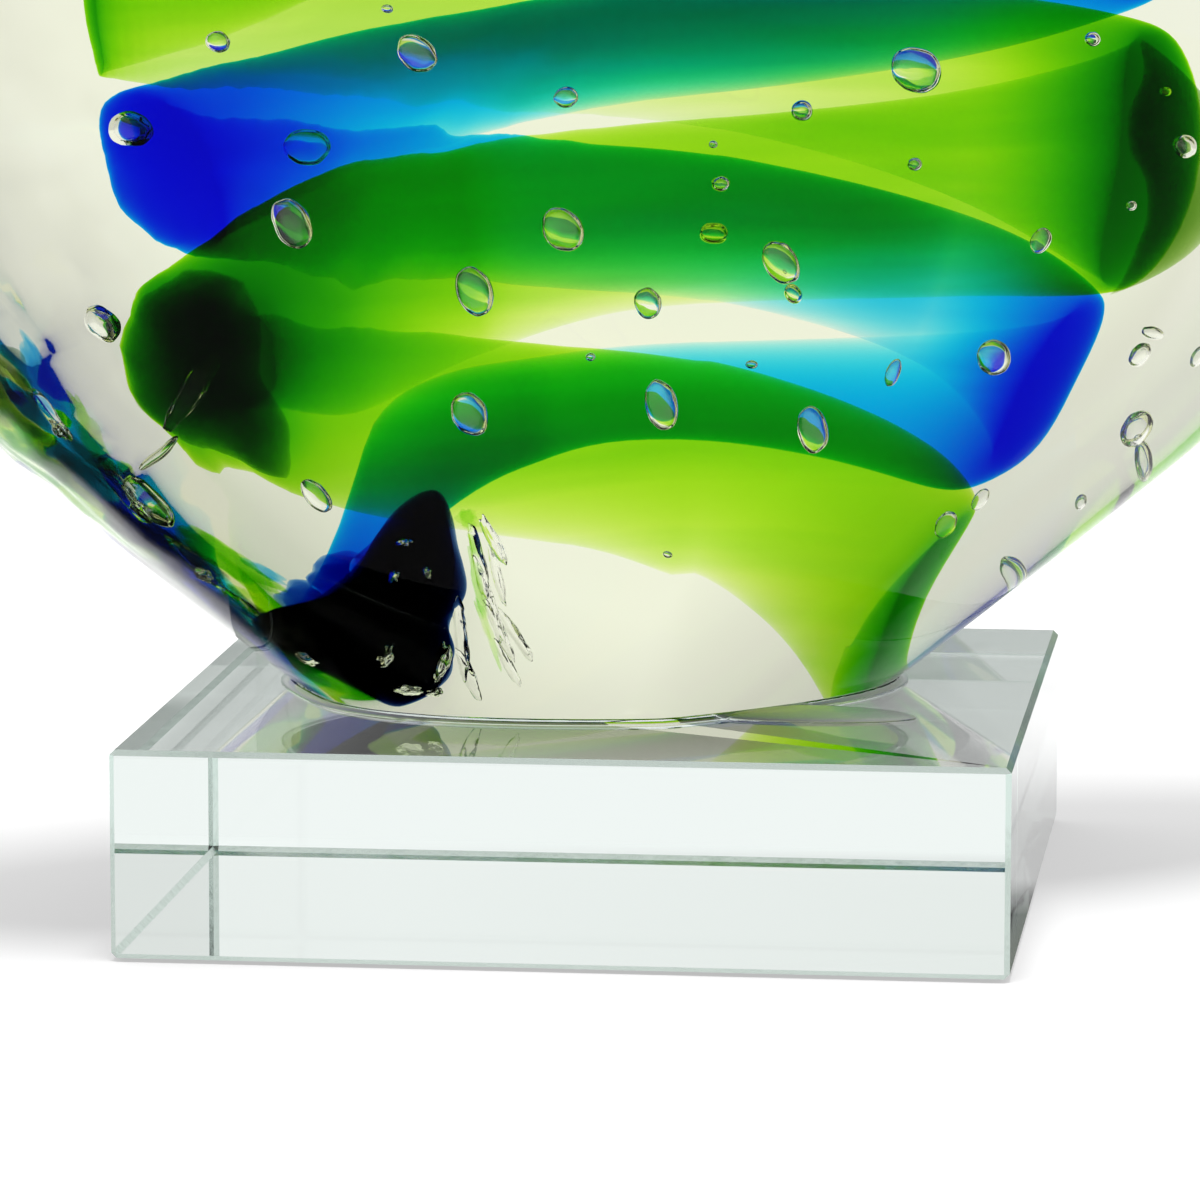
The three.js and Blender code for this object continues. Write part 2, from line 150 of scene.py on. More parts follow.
# The tail's ridges, with their depth, their number round it and their slant, and its creases, each with
# a depth, a grain round it and along it, and a shift
TAIL_RIDGES = (0.08, 3, 5)
TAIL_CREASES = ((0.3, 1.6, 0.12, (7, 3, 1)), (0.1, 4, 0.25, (0, 0, 0)))

# Where the green ribbon folds back on itself inside its rims, the glass is darker: height, crisp inner
# edge and soft outer edge in the heart's frame
RIGHT_FOLD = (
    (70.2, 51.5, 53.8), (66.8, 52.9, 58), (62.5, 51.9, 61.6), (59.2, 52.3, 62.8), (56.2, 54.1, 63),
    (52.8, 54.5, 62), (49.2, 53.1, 59.4), (46.5, 51.5, 55.5), (45, 50.3, 51.5),
)
LEFT_FOLD = (
    (45.6, -42.4, -45.3), (43.6, -38.5, -47.7), (42.2, -38.7, -49.2), (38.5, -38.1, -49.2),
    (35.1, -37.8, -48.2), (33, -36.4, -47.5), (30, -34.1, -43.5), (27.7, -33.2, -38.7),
    (26, -31.7, -35.7), (25.3, -31.5, -32.8),
)
# Half depth of the folds, how much of it is lost towards the outer edge, and where they lie in depth
RIGHT_FOLD_DEPTH = 4.5
LEFT_FOLD_DEPTH = 9.0
FOLD_THINNING = 0.38
FOLD_BLUNTNESS = 4
FOLD_CORNER = 0.5
FOLD_PLACE = -1.0
FOLD_STEPS = (60, 48)

# Bubbles in the glass: place in the heart's frame, half length and half width, tilt in degrees, down to
# the right, and for two of them a half depth
BUBBLES = (
    (23.4, -25, 66.9, 2.88, 2.32, 20), (-40, -23, 49.8, 2.86, 1.97, 55),
    (-21.3, -24, 43.5, 2.68, 1.89, 65), (-12.2, -22, 49.8, 2.58, 1.99, 45),
    (10.8, -21, 46.9, 2.51, 1.81, 50), (-1.2, -24, 32.4, 2.71, 1.7, 70), (15, -22, 30.1, 2.53, 1.72, 72),
    (34.2, -24, 37.9, 2.05, 1.85, 30), (54, -8, 31.8, 2.2, 1.68, -40), (-34.3, -4, 57.2, 2.27, 1.77, 10),
    (-51.2, -4, 58.2, 2.07, 1.77, 30), (-28.7, -24, 66.9, 2.27, 1.68, 35),
    (-20.7, -23, 31.2, 2.49, 1.8, 55), (-48.1, -22, 67.3, 1.28, 1.08, 20), (12, -22, 62.3, 1.2, 1.1, 0),
    (-12.6, -22, 63, 1.29, 1.09, 0), (43.1, -22, 70.5, 0.92, 0.77, 10), (54.2, -8, 65.2, 0.72, 0.52, 0),
    (56.4, -10, 59.8, 1.45, 1.24, 20), (24.9, -20, 57.3, 0.81, 0.71, 0), (2.9, -22, 58.6, 0.45, 0.4, 0),
    (4.3, -20, 54.6, 0.9, 0.8, 0), (7.5, -4, 49, 1.2, 1.1, 0), (15.6, -5, 43.3, 1.11, 0.91, 50),
    (-2.6, -21, 42.5, 1.7, 1.4, 60), (39.3, -20, 50, 1.43, 1.13, -60), (49.5, -18, 53.7, 0.62, 0.52, 0),
    (23.8, -20, 36.1, 1.53, 0.81, -70), (-7.9, -20, 37, 0.5, 0.45, 0), (8.4, -20, 36.5, 0.7, 0.45, 0),
    (-53.3, -6, 39.7, 1.99, 1.29, 45), (-33.7, -16, 22.7, 2.2, 1.1, 45),
    (33.2, -4, 21.4, 1.55, 1.03, -50), (37.2, -2, 24.2, 1.34, 0.72, -50),
    (48.6, 0, 25.7, 0.84, 0.53, -45), (55.6, -6, 28.9, 2.33, 1.16, 65), (53.6, -8, 39.1, 1.46, 1.04, -40),
    (55.5, -3, 41.5, 1.25, 0.62, 10), (60.3, -6, 39.2, 1.16, 0.74, -60), (41.5, 2, 19.3, 1.9, 1.05, 0),
    (1.6, -20, 17.1, 0.5, 0.35, 20), (-30.9, -20, 70.9, 0.59, 0.44, 0),
    (-47.8, -8, 22, 3.6, 1.5, 38, 1.2), (-47.4, -9, 27.1, 2.51, 0.6, -45, 0.6),
)
# Air drawn out between the folds round the tail and under the left side, in the same terms, and the half
# depth of all of it
AIR_SLIVERS = (
    (-26.2, -18, 5.8, 0.61, 1.32, 5), (-20.1, -18, 5.6, 0.71, 2.03, 5), (-23.6, -18, 1.9, 1.33, 0.61, 0),
    (-20.7, -18, 2.1, 0.61, 0.61, 0), (-25, -18, 18, 0.6, 0.4, 0), (-22.6, -18, 14.8, 0.4, 0.7, 0),
    (-25.8, -18, 14.4, 0.35, 0.81, 20), (-43.4, -11, 13.4, 1.1, 0.35, 42),
    (-49.4, -10, 20.4, 1.4, 0.4, 45), (-57.4, -8, 29.4, 1.2, 0.4, 52), (-32.6, -12, 4.4, 1.2, 0.4, 35),
)
AIR_SLIVER_DEPTH = 1.6

# Wisps of denser clear glass beside the tail, and shreds of coloured glass, all with a half depth. The dark
# shreds along the lower left rim are painted shade: dark glass standing in for the dark refracted image of
# the ribbons there
WISPS = (
    (-16, -14, 16.5, 4.2, 0.5, 72, 1.4), (-14.6, -14, 12.5, 5, 0.45, 66, 1.4),
    (-12.8, -13, 9.5, 4, 0.4, 60, 1.2), (-14.8, -14, 18.6, 3, 0.5, 58, 1.4),
    (-13.6, -13, 14.8, 3.2, 0.35, 70, 1.2), (-10.8, -12, 9, 3.4, 0.4, 52, 1.2),
    (-15.4, -13, 4.8, 3, 0.5, 62, 1.2), (-44.8, -8, 33.4, 4.9, 1.2, -61, 0.9),
    (-16.9, -14, 8.5, 4.6, 0.5, 78, 1.4), (-11.2, -12, 6, 3, 0.35, 56, 1),
    (-50.5, -8, 22.4, 4, 0.8, 48, 1.2), (-44, -11, 14.6, 4.6, 0.8, 40, 1.2),
    (-38, -11, 9.6, 4, 0.8, 38, 1.2), (-58, -8, 30.6, 3.4, 0.7, 54, 1.2),
)
# Painted shade: dark glass along the lower left rim, where only the ribbons' refracted dark image lies
PAINTED_SHADE_SHREDS = (
    (-47, -6, 16.9, 6, 0.5, 40, 4), (-54.4, -5, 24.8, 6, 0.5, 44, 4), (-37.6, -7, 9, 6, 0.5, 37, 4),
    (-61, -4, 33.2, 5, 0.5, 52, 4), (-45.2, -10, 16.1, 5.6, 1.3, 40, 1.1), (-53.4, -9, 25, 5, 1.2, 44, 1),
    (-35.3, -10, 8.4, 6.2, 1.5, 37, 1.2), (-61, -7, 34, 3.4, 1.1, 56, 1),
    (-42, -9, 15.6, 3, 0.7, 36, 0.8),
)
GREEN_SHREDS = (
    (-39.7, -9, 16.3, 6.58, 1.11, 31, 2.5), (-38, -9, 12.7, 1.73, 0.61, 20, 0.5),
    (-53.8, -7, 29.1, 4.27, 0.6, 61, 0.7), (-17.5, -14, 20.5, 1.2, 0.9, 40, 0.6),
    (-15.6, -14, 13.4, 4.4, 0.5, 72, 0.25), (-14, -13, 9.4, 3.6, 0.4, 64, 0.2),
    (-50.5, -8, 25.2, 1.6, 0.7, 50, 0.6), (-16.6, -14, 18, 1.4, 0.4, 60, 0.4),
)
DARK_BLUE_SHREDS = (
    (-28, -12, 14.4, 4.6, 2.6, 12, 1.3), (-30.5, -11.5, 12, 5, 2, 8, 1.3),
    (-25.5, -13, 17, 3.4, 2, -40, 1.1),
)
BLUE_SHREDS = (
    (-36.1, -10, 15.2, 2.53, 0.4, 28, 0.8), (-58.4, -6, 34.6, 4.5, 0.9, 57, 1.2),
)
# A ball fills this share of the outline that was measured, with its soft edge. Where no half depth is
# given, a large bubble in the middle is flatter than the others: half depths are shares of half widths
BALL_FILL = 0.97
BALL_DEPTH = 0.85
FLAT_BALL_DEPTH = 0.45
FLAT_BALL_FROM = 1.2
FLAT_BALL_WITHIN = 50.0
WRINKLE_GRAIN = 1.7
# Half lengths above which a ball has a finer mesh
FINE_BUBBLE_FROM = 1.2
FINE_SHRED_FROM = 0.4

# Adhesive, with the clearance between pieces that touch
ADHESIVE = 0.6
CONTACT = 0.02
SEAT_Z = BLOCK_HEIGHT + ADHESIVE
# How the film's edge bulges: outwards from the seat's edge, and down from the seat
ADHESIVE_EDGE = (
    (0, CONTACT), (0.25, 0.06), (0.6, 0.15), (0.85, 0.3), (0.98, 0.45), (1.0, ADHESIVE - CONTACT),
)
TONGUE_LENGTH = 26.0
TONGUE_WIDTH = 10.0
TONGUE_BEYOND = 2.5
TONGUE_BEARING = -41.0
TONGUE_TURN = -4.0
TONGUE_FULLNESS = 0.5

# Camera, in the shared frame
EYE = Vector((81.476, -689.09, 134.87)) * MM
AIM = Vector((-1.02, 0, 30.4)) * MM
LENS = 200
SENSOR_WIDTH = 36
LIGHT_BOUNCES = 40

# Lamp, in metres and watts
LAMP_PLACE = Vector((0.0, -0.1, 1.1))
LAMP_AIM = Vector((0, 0.02, 0.05))
LAMP_SIZE = 0.42
LAMP_POWER = 14

# Paper floor, in metres: its glow near the block and far from it, and how the glow changes where it is seen
# through glass, which paints a shadow under the block and paints light beside it, with 0.5 for no change, at
# a distance from the middle in tenths of a metre
FLOOR_HALF_SIZE = 3.0
FLOOR_DROP = 0.0003
PAPER = (0.92, 0.92, 0.92)
PAPER_GLOW = (0.5, 1.0)
PAPER_GLOW_REACH = (0.15, 0.4)
PAINTED_SHADOW_AND_LIGHT_THROUGH_GLASS = (
    (0.1, (0.0, 0.0, 0.0)), (0.36, (0.5, 0.5, 0.5)), (0.43, (0.5, 0.5, 0.5)), (0.55, WHITE),
)
NO_CHANGE = 0.5
TENTHS_PER_METRE = 10.0
# A painted dark reflection: the floor's front half, dark as a card in front where glass mirrors it, and the
# part of it that light sees after passing glass too
PAINTED_REFLECTION_DARK = (0.05, 0.05, 0.05)
PAINTED_REFLECTION_SOFT_EDGE = 0.01
PAINTED_REFLECTION_NEAR = 0.06

# Light tent: its grey from front to back, the shift of that grey towards the back, and what reflections
# add to the shift and show low down. The backdrop, seen through glass, is greyer higher up and aside
TENT = ((0.0, (0.04, 0.04, 0.04)), (0.3, (0.95, 0.95, 0.95)))
TENT_SHIFT = 0.5
TENT_SHIFT_MIRRORED = -0.45
MIRRORED_HORIZON = ((0.1, (0.42, 0.52, 0.47)), (0.5, WHITE))
BACKDROP = ((0.14, WHITE), (0.27, (0.87, 0.87, 0.86)), (0.5, (0.72, 0.72, 0.71)))
BACKDROP_OFF_CENTRE = 0.15
BACKDROP_ASIDE = 0.48

# Glass: its refraction, that of the wisps against the glass round them, and what each glass takes out of
# light, as the colour that is left and a density per metre
GLASS_IOR = 1.5
WISP_IOR = 1.1
CLEAR = ((0.74, 0.82, 0.0), 4.0)
BLOCK = ((0.85, 0.945, 0.91), 7.0)
BLUE = ((0.0, 0.88, 0.9957), 3000.0)
GREEN = ((0.775, 0.94, 0.0), 2000.0)
DARK = ((0.0, 0.25, 0.55), 2600.0)
GREEN_FOLD = ((0.45, 0.68, 0.0), 700.0)
BLUE_SHRED = ((0.0, 0.75, 0.98), 1500.0)
DARK_BLUE_SHRED = ((0.0, 0.45, 0.85), 3000.0)
# Colour of the painted shade along the lower left rim
PAINTED_SHADE_ABSORPTION = ((0.3, 0.42, 0.3), 1500.0)
GREEN_SHRED = ((0.6, 0.9, 0.0), 1300.0)
# Patterns: their grain per metre along each axis, and the levels of the cloud between which they show
RIBBON_GRAIN = (14, 14, 120)
TAIL_GRAIN = (90, 90, 40)
FOLD_GRAIN = (60, 60, 60)
SHRED_GRAIN = (200, 200, 200)
SMUDGE_GRAIN = (45, 45, 90)
STREAK_LEVELS = (0.42, 0.72)
SMUDGE_LEVELS = (0.52, 0.8)


def power(value, exponent):
    """A power that keeps the sign of its value."""
    return math.copysign(abs(value) ** exponent, value)


def lerp(a, b, share):
    return a + (b - a) * share


def held(share):
    """A share kept between none and all."""
    return min(1.0, max(0.0, share))


def smooth_step(share):
    share = held(share)
    return share * share * (3 - 2 * share)


# Places

def heart_half_outline():
    """Right half of the heart's front outline, from the tip to the cleft, and its length up to each point."""
    half = HEART_WIDTH / 2
    rise = Vector((math.cos(math.radians(SIDE_SLOPE)), math.sin(math.radians(SIDE_SLOPE))))
    tip = (0, -TIP_GROUND_OFF)
    knee = Vector(SIDE_KNEE)
    widest = (half, WIDEST_HEIGHT)
    lobe = (LOBE_HALF_SPACING, HEART_HEIGHT)
    cleft = (0, HEART_HEIGHT - CLEFT_DEPTH)
    spans = (
        (tip, (TIP_ROUNDNESS, -TIP_GROUND_OFF), knee - rise * KNEE_PULLS[0], knee),
        (knee, knee + rise * KNEE_PULLS[1], (half, WIDEST_HEIGHT - WIDEST_PULLS[0]), widest),
        (widest, (half, WIDEST_HEIGHT + WIDEST_PULLS[1]), (lobe[0] + LOBE_PULLS[0], HEART_HEIGHT), lobe),
        (lobe, (lobe[0] - LOBE_PULLS[1], HEART_HEIGHT), (CLEFT_PULL[0], cleft[1] + CLEFT_PULL[1]), cleft),
    )
    points = [Vector(tip)]
    for span in spans:
        points += interpolate_bezier(*(Vector(point) for point in span), OUTLINE_STEPS)[1:]
    lengths = [0.0]
    for a, b in zip(points, points[1:]):
        lengths.append(lengths[-1] + (b - a).length)
    return points, lengths


OUTLINE, OUTLINE_LENGTHS = heart_half_outline()


def outline_at(share):
    """The point of the half outline at a share of its length."""
    reach = share * OUTLINE_LENGTHS[-1]
    high = min(len(OUTLINE) - 1, max(1, bisect_right(OUTLINE_LENGTHS, reach)))
    start, end = OUTLINE_LENGTHS[high - 1:high + 1]
    return OUTLINE[high - 1].lerp(OUTLINE[high], (reach - start) / (end - start))


def heart_point(u, v):
    """A point of the heart's skin, u round its outline and v from the back's centre to the front's."""
    mirrored = u > 0.5
    point = outline_at(2 - 2 * u if mirrored else 2 * u)
    centre = HEART_HEIGHT - CLEFT_DEPTH - CLEFT_TO_CENTRE
    z = point.y - centre
    from_bottom = min(1.0, math.atan2(abs(point.x), -z) / math.radians(FULLNESS_SPREAD))
    fullness = lerp(BOTTOM_FULLNESS, SIDE_FULLNESS, from_bottom)
    angle = math.pi * (v - 0.5)
    wide, deep = abs(math.cos(angle)), math.sin(angle)
    radius = (wide ** fullness + abs(deep) ** fullness) ** (-1 / fullness)
    x = -point.x if mirrored else point.x
    place = Vector((x * wide * radius, deep * radius * HEART_THICKNESS / 2, centre + z * wide * radius))
    away = (place - Vector((0, 0, centre))).normalized()
    leftwards = smooth_step((-x - CRUMPLE_LEFT[0]) / CRUMPLE_LEFT[1])
    downwards = smooth_step((CRUMPLE_BELOW[0] - place.z) / CRUMPLE_BELOW[1])
    wave = sum(height * noise.noise(place * grain + Vector((shift, 0, 0)))
               for height, grain, shift in CRUMPLE_WAVES)
    return place + away * (wave - CRUMPLE_SINK) * (leftwards * downwards)


def smooth_through(points, steps=25):
    """Points close together on a smooth curve through the given ones."""
    points = [Vector(point) for point in points]
    points = [points[0] * 2 - points[1]] + points + [points[-1] * 2 - points[-2]]
    samples = []
    for i in range(1, len(points) - 2):
        p0, p1, p2, p3 = points[i - 1:i + 3]
        d0, d1, d2 = ((b - a).length ** 0.5 for a, b in ((p0, p1), (p1, p2), (p2, p3)))
        t1 = (p1 - p0) / d0 - (p2 - p0) / (d0 + d1) + (p2 - p1) / d1
        t2 = (p2 - p1) / d1 - (p3 - p1) / (d1 + d2) + (p3 - p2) / d2
        samples += interpolate_bezier(p1, p1 + t1 * d1 / 3, p2 - t2 * d1 / 3, p2, steps)[:-1]
    return samples + [points[-2]]


def sample_at(samples, place):
    """The point of a run of samples whose first coordinate is place."""
    high = min(len(samples) - 1, max(1, bisect_right(samples, place, key=lambda sample: sample.x)))
    a, b = samples[high - 1:high + 1]
    return a.lerp(b, held((place - a.x) / (b.x - a.x)))


LEFT_SIDE, RIGHT_SIDE, COLUMN_FACES = (
    smooth_through(table) for table in (COLUMN_LEFT, COLUMN_RIGHT, COLUMN_DEPTH))


def column_point(turn, height, offset):
    """A point at an offset outside the column's skin, at a number of half turns and a height."""
    angle = turn * math.pi
    across = -power(math.cos(angle), 2 / COLUMN_SQUARENESS)
    deep = power(math.sin(angle), 2 / COLUMN_SQUARENESS)
    half_width = sample_at(RIGHT_SIDE if across > 0 else LEFT_SIDE, height).y
    half_thickness = sample_at(COLUMN_FACES, height).y
    out = Vector((across / half_width, deep / half_thickness)).normalized()
    return Vector((half_width * across + offset * out.x, half_thickness * deep + offset * out.y, height))


def rim_share(turn):
    """How far a place on a band belongs to the column's edges, where bands swell, and not to its faces."""
    return abs(math.cos(turn * math.pi)) ** RIM_SHARPNESS


def side_at(stations, turn, side):
    """How far a band's outer or inner side lies off the column at a turn."""
    for a, b in zip(stations, stations[1:]):
        if turn <= b[0]:
            share = (rim_share(turn) - rim_share(a[0])) / (rim_share(b[0]) - rim_share(a[0]))
            return lerp(a[side], b[side], held(share))
    return stations[-1][side]


def ribbon_surface(stations, taper):
    """A band's skin: u along its stations, v round its section, which is a box with full, round corners."""
    samples = smooth_through([(row[0] * HALF_TURN_LENGTH, row[1], row[2]) for row in stations])
    start, end = stations[0][0], stations[-1][0]

    def surface(u, v):
        turn = lerp(start, end, u)
        from_end = min(turn - start, end - turn) / RIBBON_END_TURN
        fade = 1.0 if from_end >= 1 else math.sqrt(max(0.0, 1 - (1 - from_end) ** 2))
        _, height, half = sample_at(samples, turn * HALF_TURN_LENGTH)
        angle = 2 * math.pi * v
        rise = power(math.cos(angle), RIBBON_CORNER)
        inner = side_at(stations, turn, INNER_SIDE)
        lowest = smooth_step((turn - TAPER_CHANGE[0]) / TAPER_CHANGE[1])
        uneven = lerp(*taper, lowest) * (1 - rim_share(turn))
        thickness = (GAP + side_at(stations, turn, OUTER_SIDE) - inner) * (1 + uneven * rise)
        out = inner + thickness / 2 + power(math.sin(angle), RIBBON_CORNER) * fade * thickness / 2
        return column_point(turn, height + rise * half * fade, out)

    return surface


def fold_surface(rows, depth):
    """A dark fold in a band's rim: thickest along its crisp inner edge and thinning out to its outer one."""
    samples = smooth_through([(-height, inner, outer) for height, inner, outer in rows])

    def surface(u, v):
        down = lerp(samples[0].x, samples[-1].x, u)
        _, inner, outer = sample_at(samples, down)
        swell = math.sqrt(max(0.0, 1 - (2 * u - 1) ** FOLD_BLUNTNESS))
        angle = 2 * math.pi * v
        across = power(math.cos(angle), FOLD_CORNER) * swell
        thinned = 1 - FOLD_THINNING + FOLD_THINNING * across
        y = power(math.sin(angle), FOLD_CORNER) * swell * depth * thinned
        return Vector((lerp(outer, inner, (across + 1) / 2), y + FOLD_PLACE, -down))

    return surface


TAIL_AXIS = smooth_through([(-height, x, y) for height, x, y, _, _ in TAIL_STATIONS])
TAIL_GIRTH = smooth_through([(-height, wide, deep) for height, _, _, wide, deep in TAIL_STATIONS])


def tail_point(u, v):
    """The tail's skin: a drop that hangs down its axis, with slanting ridges and creases."""
    height = lerp(TAIL_STATIONS[0][0], TAIL_STATIONS[-1][0], u)
    axis, girth = sample_at(TAIL_AXIS, -height), sample_at(TAIL_GIRTH, -height)
    swell = math.sqrt(max(0.0, 1 - (2 * u - 1) ** TAIL_BLUNTNESS))
    angle = 2 * math.pi * v
    side, front = math.cos(angle), math.sin(angle)
    ridge, ridges, slant = TAIL_RIDGES
    fold = 1 + ridge * math.sin(ridges * angle + slant * u)
    for crease, grain, grain_along, shift in TAIL_CREASES:
        place = Vector((side * grain, front * grain, height * grain_along)) + Vector(shift)
        fold += crease * noise.noise(place)
    return Vector((axis.y + side * girth.y * swell * fold, axis.z + front * girth.z * swell * fold, height))


# Meshes

LEAN = Matrix.Rotation(math.radians(HEART_LEAN), 4, "Y")
SEAT_PLACE = (
    Matrix.Translation((*HEART_OFFSET, SEAT_Z)) @ Matrix.Rotation(math.radians(HEART_TURN), 4, "Z")
)
HEART_PLACE = SEAT_PLACE @ LEAN


def wrapped(surface, steps, around):
    """A bmesh from a flat grid whose points move onto a closed surface, with the seam and poles joined."""
    bm = bmesh.new()
    bmesh.ops.create_grid(bm, x_segments=steps, y_segments=around, size=1)
    for vert in bm.verts:
        u, v = (vert.co.x + 1) / 2, (vert.co.y + 1) / 2
        vert.co = surface(u, v)
    bmesh.ops.remove_doubles(bm, verts=bm.verts, dist=1e-4)
    bmesh.ops.dissolve_degenerate(bm, edges=bm.edges, dist=1e-5)
    bmesh.ops.recalc_face_normals(bm, faces=bm.faces)
    return bm


def cut_flat(bm, height):
    """Take off what lies below a height and close the cut with the second material. Gives edge and face."""
    cut = bmesh.ops.bisect_plane(bm, geom=bm.verts[:] + bm.edges[:] + bm.faces[:],
                                 plane_co=(0, 0, height), plane_no=(0, 0, 1), clear_inner=True)
    rim = [part for part in cut["geom_cut"] if isinstance(part, bmesh.types.BMEdge)]
    cap = bmesh.ops.contextual_create(bm, geom=rim)["faces"]
    for face in cap:
        face.material_index = 1
    bmesh.ops.recalc_face_normals(bm, faces=bm.faces)
    return rim, cap[0]


def mesh_object(bm, name, materials):
    """The object of a bmesh, in the scene."""
    mesh = bpy.data.meshes.new(name)
    bm.to_mesh(mesh)
    bm.free()
    for material in materials:
        mesh.materials.append(material)
    made = bpy.data.objects.new(name, mesh)
    bpy.context.scene.collection.objects.link(made)
    return made


def finished(bm, name, materials, place=Matrix(), replaced=(), slot=None, smooth=True):
    """A piece of the sculpture, from its bmesh in millimetres and with the CAD nodes that it replaces."""
    bm.transform(place)
    bm.transform(Matrix.Scale(MM, 4))
    for face in bm.faces:
        face.smooth = smooth
    piece = mesh_object(bm, name, materials)
    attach(piece, "root")
    if replaced:
        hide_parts(*replaced)


# Nodes

def add_node(tree, kind, inputs, **settings):
    """A new node. Each of its inputs, by name or number, takes a plain value or another node's output."""
    node = tree.nodes.new("ShaderNode" + kind)
    for setting, value in settings.items():
        setattr(node, setting, value)
    for socket, value in inputs.items():
        if isinstance(value, bpy.types.NodeSocket):
            tree.links.new(value, node.inputs[socket])
        else:
            node.inputs[socket].default_value = value
    return node


def worked_out(tree, operation, *values, clamp=False):
    """What a Math node makes of its values."""
    return add_node(tree, "Math", dict(enumerate(values)), operation=operation, use_clamp=clamp).outputs[0]


def ranged(tree, value, levels, low=0.0, high=1.0):
    """A value that goes from low to high while the given one passes through its levels."""
    inputs = {"Value": value, "From Min": levels[0], "From Max": levels[1], "To Min": low, "To Max": high}
    return add_node(tree, "MapRange", inputs).outputs["Result"]


def ramp(tree, value, stops):
    """The colour that a ramp gives a value. Each stop has a place and a colour."""
    node = add_node(tree, "ValToRGB", {0: value})
    elements = node.color_ramp.elements
    elements[0].position, elements[1].position = stops[0][0], stops[-1][0]
    for place, _ in stops[1:-1]:
        elements.new(place)
    for element, (_, colour) in zip(elements, stops):
        element.color = (*colour, 1)
    return node.outputs[0]


def cloud_over(tree, grain, detail=2.0):
    """A cloud pattern over the piece, with its own grain along each of the object's axes."""
    place = add_node(tree, "TexCoord", {}).outputs["Object"]
    fitted = add_node(tree, "Mapping", {"Vector": place, "Scale": grain}).outputs["Vector"]
    return add_node(tree, "TexNoise", {"Vector": fitted, "Scale": 1.0, "Detail": detail}).outputs["Fac"]


# Materials

def new_material(name):
    material = bpy.data.materials.new(name)
    material.use_nodes = True
    material.node_tree.nodes.clear()
    return material, material.node_tree


def give_surface(tree, surface, absorbs=None):
    """The material's output, with what the glass takes out of light where that is given."""
    output = add_node(tree, "OutputMaterial", {"Surface": surface.outputs[0]})
    if absorbs:
        colour, density = absorbs
        volume = add_node(tree, "VolumeAbsorption", {"Color": (*colour, 1), "Density": density})
        tree.links.new(volume.outputs[0], output.inputs["Volume"])


def glass(name, ior, absorbs=None, wave=0.0, grain=60.0, smudge=0.0, roughness=0.0, tint=WHITE):
    """Glass with a skin that is never quite flat, and where wanted a faint film of handling marks."""
    material, tree = new_material(name)
    inputs = {"Color": (*tint, 1), "Roughness": roughness, "IOR": ior}
    if wave:
        height = cloud_over(tree, (grain, grain, grain))
        bump = add_node(tree, "Bump", {"Strength": wave, "Distance": MM, "Height": height})
        inputs["Normal"] = bump.outputs["Normal"]
    if smudge:
        marks = cloud_over(tree, SMUDGE_GRAIN, detail=6.0)
        inputs["Roughness"] = ranged(tree, marks, SMUDGE_LEVELS, high=smudge)
    give_surface(tree, add_node(tree, "BsdfGlass", inputs), absorbs)
    return material


def bonded(name, absorbs=None, streak=None, grain=RIBBON_GRAIN):
    """Glass fused into glass: only its own colour shows, where wanted with faint streaks of another."""
    material, tree = new_material(name)
    inputs = {}
    if streak:
        share = ranged(tree, cloud_over(tree, grain, detail=3.0), STREAK_LEVELS)
        inputs["Color"] = add_node(tree, "MixRGB", {0: share, 1: (*WHITE, 1), 2: (*streak, 1)}).outputs[0]
    give_surface(tree, add_node(tree, "BsdfTransparent", inputs), absorbs)
    return material


clear_glass = glass("clear_glass", GLASS_IOR, CLEAR, wave=0.03)
clear_bond = bonded("clear_glass_bonded", CLEAR)
block_glass = glass("block_glass", GLASS_IOR, BLOCK, smudge=0.035)
# The chamfers' grey-green tint is painted shade that darkens the block's edge lines; their roughness and
# ripple are the ground edges' own
block_edge = glass("block_edge", GLASS_IOR, BLOCK, roughness=0.25, wave=0.1, grain=400.0,
                   tint=(0.88, 0.94, 0.91))
block_bond = bonded("block_glass_bonded", BLOCK)
adhesive_glass = glass("adhesive", GLASS_IOR, wave=0.15, grain=220.0)
adhesive_bond = bonded("adhesive_bonded")
blue_glass = bonded("blue_glass", BLUE, streak=(0.6, 0.84, 0.97))
green_glass = bonded("green_glass", GREEN, streak=(0.78, 0.93, 0.6))
dark_glass = bonded("dark_glass", DARK, streak=(0.5, 0.65, 0.8), grain=TAIL_GRAIN)
fold_glass = bonded("green_fold_glass", GREEN_FOLD, streak=(0.7, 0.85, 0.7), grain=FOLD_GRAIN)
shred_blue = bonded("blue_shred_glass", BLUE_SHRED, streak=(0.8, 0.9, 1.0), grain=SHRED_GRAIN)
shred_dark_blue = bonded("dark_blue_shred_glass", DARK_BLUE_SHRED, streak=(0.5, 0.7, 0.95), grain=SHRED_GRAIN)
# Dark glass used as painted shade along the lower left rim
painted_shade_glass = bonded("painted_shade_shred_glass", PAINTED_SHADE_ABSORPTION, streak=(0.6, 0.7, 0.6), grain=SHRED_GRAIN)
shred_green = bonded("green_shred_glass", GREEN_SHRED, streak=(0.8, 0.95, 0.7), grain=SHRED_GRAIN)
wisp_glass = glass("wisp_glass", WISP_IOR, wave=0.2, grain=500.0)
air = glass("air_in_glass", 1 / GLASS_IOR, wave=0.05, grain=300.0)

# The heart itself

